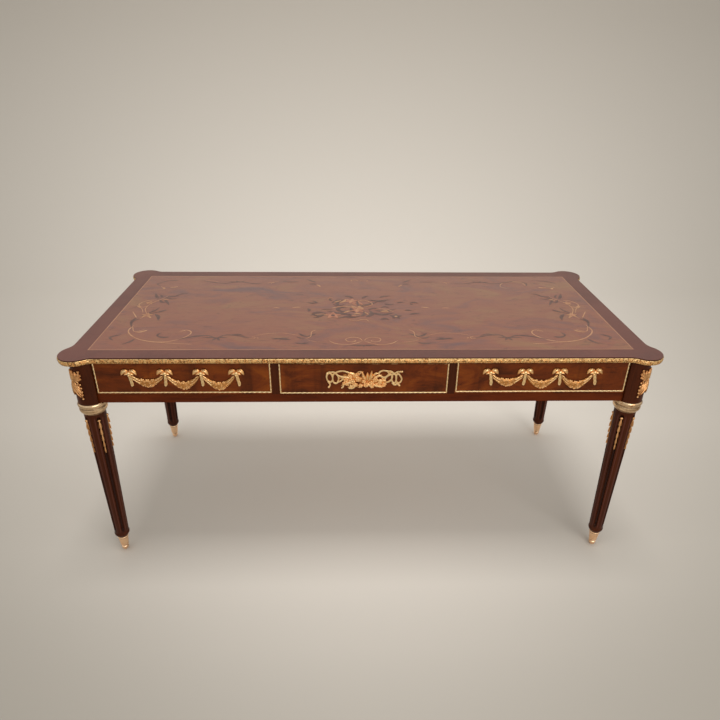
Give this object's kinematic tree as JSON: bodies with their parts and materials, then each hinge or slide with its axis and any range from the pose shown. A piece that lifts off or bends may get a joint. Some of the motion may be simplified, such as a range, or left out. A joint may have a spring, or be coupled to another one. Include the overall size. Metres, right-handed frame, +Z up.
{
  "type": "writing table with three drawers",
  "caption": "Flat-topped writing table with marquetry top, round ears, drawers with gilt frames and mounts, and fluted tapering legs on gilt feet",
  "frame": {"origin": "on the floor, under the middle of the top", "axes": "X along the length to the right, Y to the back, Z up; the drawers face -Y"},
  "size_m": [1.7908, 0.8088, 0.77],
  "materials": {
    "dark_wood": "french polished, near black brown",
    "border_veneer": "polished dark veneer",
    "figured_veneer": "polished figured veneer with marquetry",
    "frieze_veneer": "polished reddish figured veneer",
    "rail_veneer": "polished dark red veneer",
    "light_line": "polished light stringing",
    "inner_wood": "planed, unpolished",
    "gilt_bronze": "satin gilt",
    "collar_brass": "polished, slightly toned",
    "screw_steel": "plain"
  },
  "bodies": {
    "carcass": {"top_board": "dark_wood", "top_crossband": "border_veneer", "top_stringing": "light_line", "top_field_veneer": "figured_veneer", "edge_moulding_front": "gilt_bronze", "edge_moulding_back": "gilt_bronze", "edge_moulding_left_end": "gilt_bronze", "edge_moulding_right_end": "gilt_bronze", "leg_front_left": "dark_wood", "leg_front_right": "dark_wood", "leg_back_right": "dark_wood", "leg_back_left": "dark_wood", "leg_collar_front_left": "collar_brass", "leg_collar_front_right": "collar_brass", "leg_collar_back_right": "collar_brass", "leg_collar_back_left": "collar_brass", "leg_husks_front_left": "gilt_bronze", "leg_husks_front_right": "gilt_bronze", "leg_husks_back_right": "gilt_bronze", "leg_husks_back_left": "gilt_bronze", "sabot_front_left": "gilt_bronze", "sabot_front_right": "gilt_bronze", "sabot_back_right": "gilt_bronze", "sabot_back_left": "gilt_bronze", "corner_mount_front_left": "gilt_bronze", "corner_mount_front_right": "gilt_bronze", "corner_mount_back_right": "gilt_bronze", "corner_mount_back_left": "gilt_bronze", "front_lower_rail": "rail_veneer", "front_upper_rail": "inner_wood", "drawer_stile_left": "dark_wood", "drawer_stile_right": "dark_wood", "side_apron_left": "frieze_veneer", "side_apron_right": "frieze_veneer", "back_apron": "frieze_veneer", "partition_left": "inner_wood", "partition_right": "inner_wood", "drawer_runners": "inner_wood", "drawer_kickers": "inner_wood", "top_screws": "screw_steel", "apron_frames": "gilt_bronze", "apron_mounts": "gilt_bronze"},
    "drawer_left": {"drawer_left_front": "frieze_veneer", "drawer_left_sides": "inner_wood", "drawer_left_back": "inner_wood", "drawer_left_bottom": "inner_wood", "drawer_left_frame": "gilt_bronze", "drawer_left_mount": "gilt_bronze"},
    "drawer_centre": {"drawer_centre_front": "frieze_veneer", "drawer_centre_sides": "inner_wood", "drawer_centre_back": "inner_wood", "drawer_centre_bottom": "inner_wood", "drawer_centre_frame": "gilt_bronze", "drawer_centre_mount": "gilt_bronze"},
    "drawer_right": {"drawer_right_front": "frieze_veneer", "drawer_right_sides": "inner_wood", "drawer_right_back": "inner_wood", "drawer_right_bottom": "inner_wood", "drawer_right_frame": "gilt_bronze", "drawer_right_mount": "gilt_bronze"}
  },
  "joints": [
    {"name": "drawer_left_slide", "type": "slide", "parent": "carcass", "child": "drawer_left", "axis": [0, -1, 0], "range_m": [0, 0.34]},
    {"name": "drawer_centre_slide", "type": "slide", "parent": "carcass", "child": "drawer_centre", "axis": [0, -1, 0], "range_m": [0, 0.34]},
    {"name": "drawer_right_slide", "type": "slide", "parent": "carcass", "child": "drawer_right", "axis": [0, -1, 0], "range_m": [0, 0.34]}
  ]
}
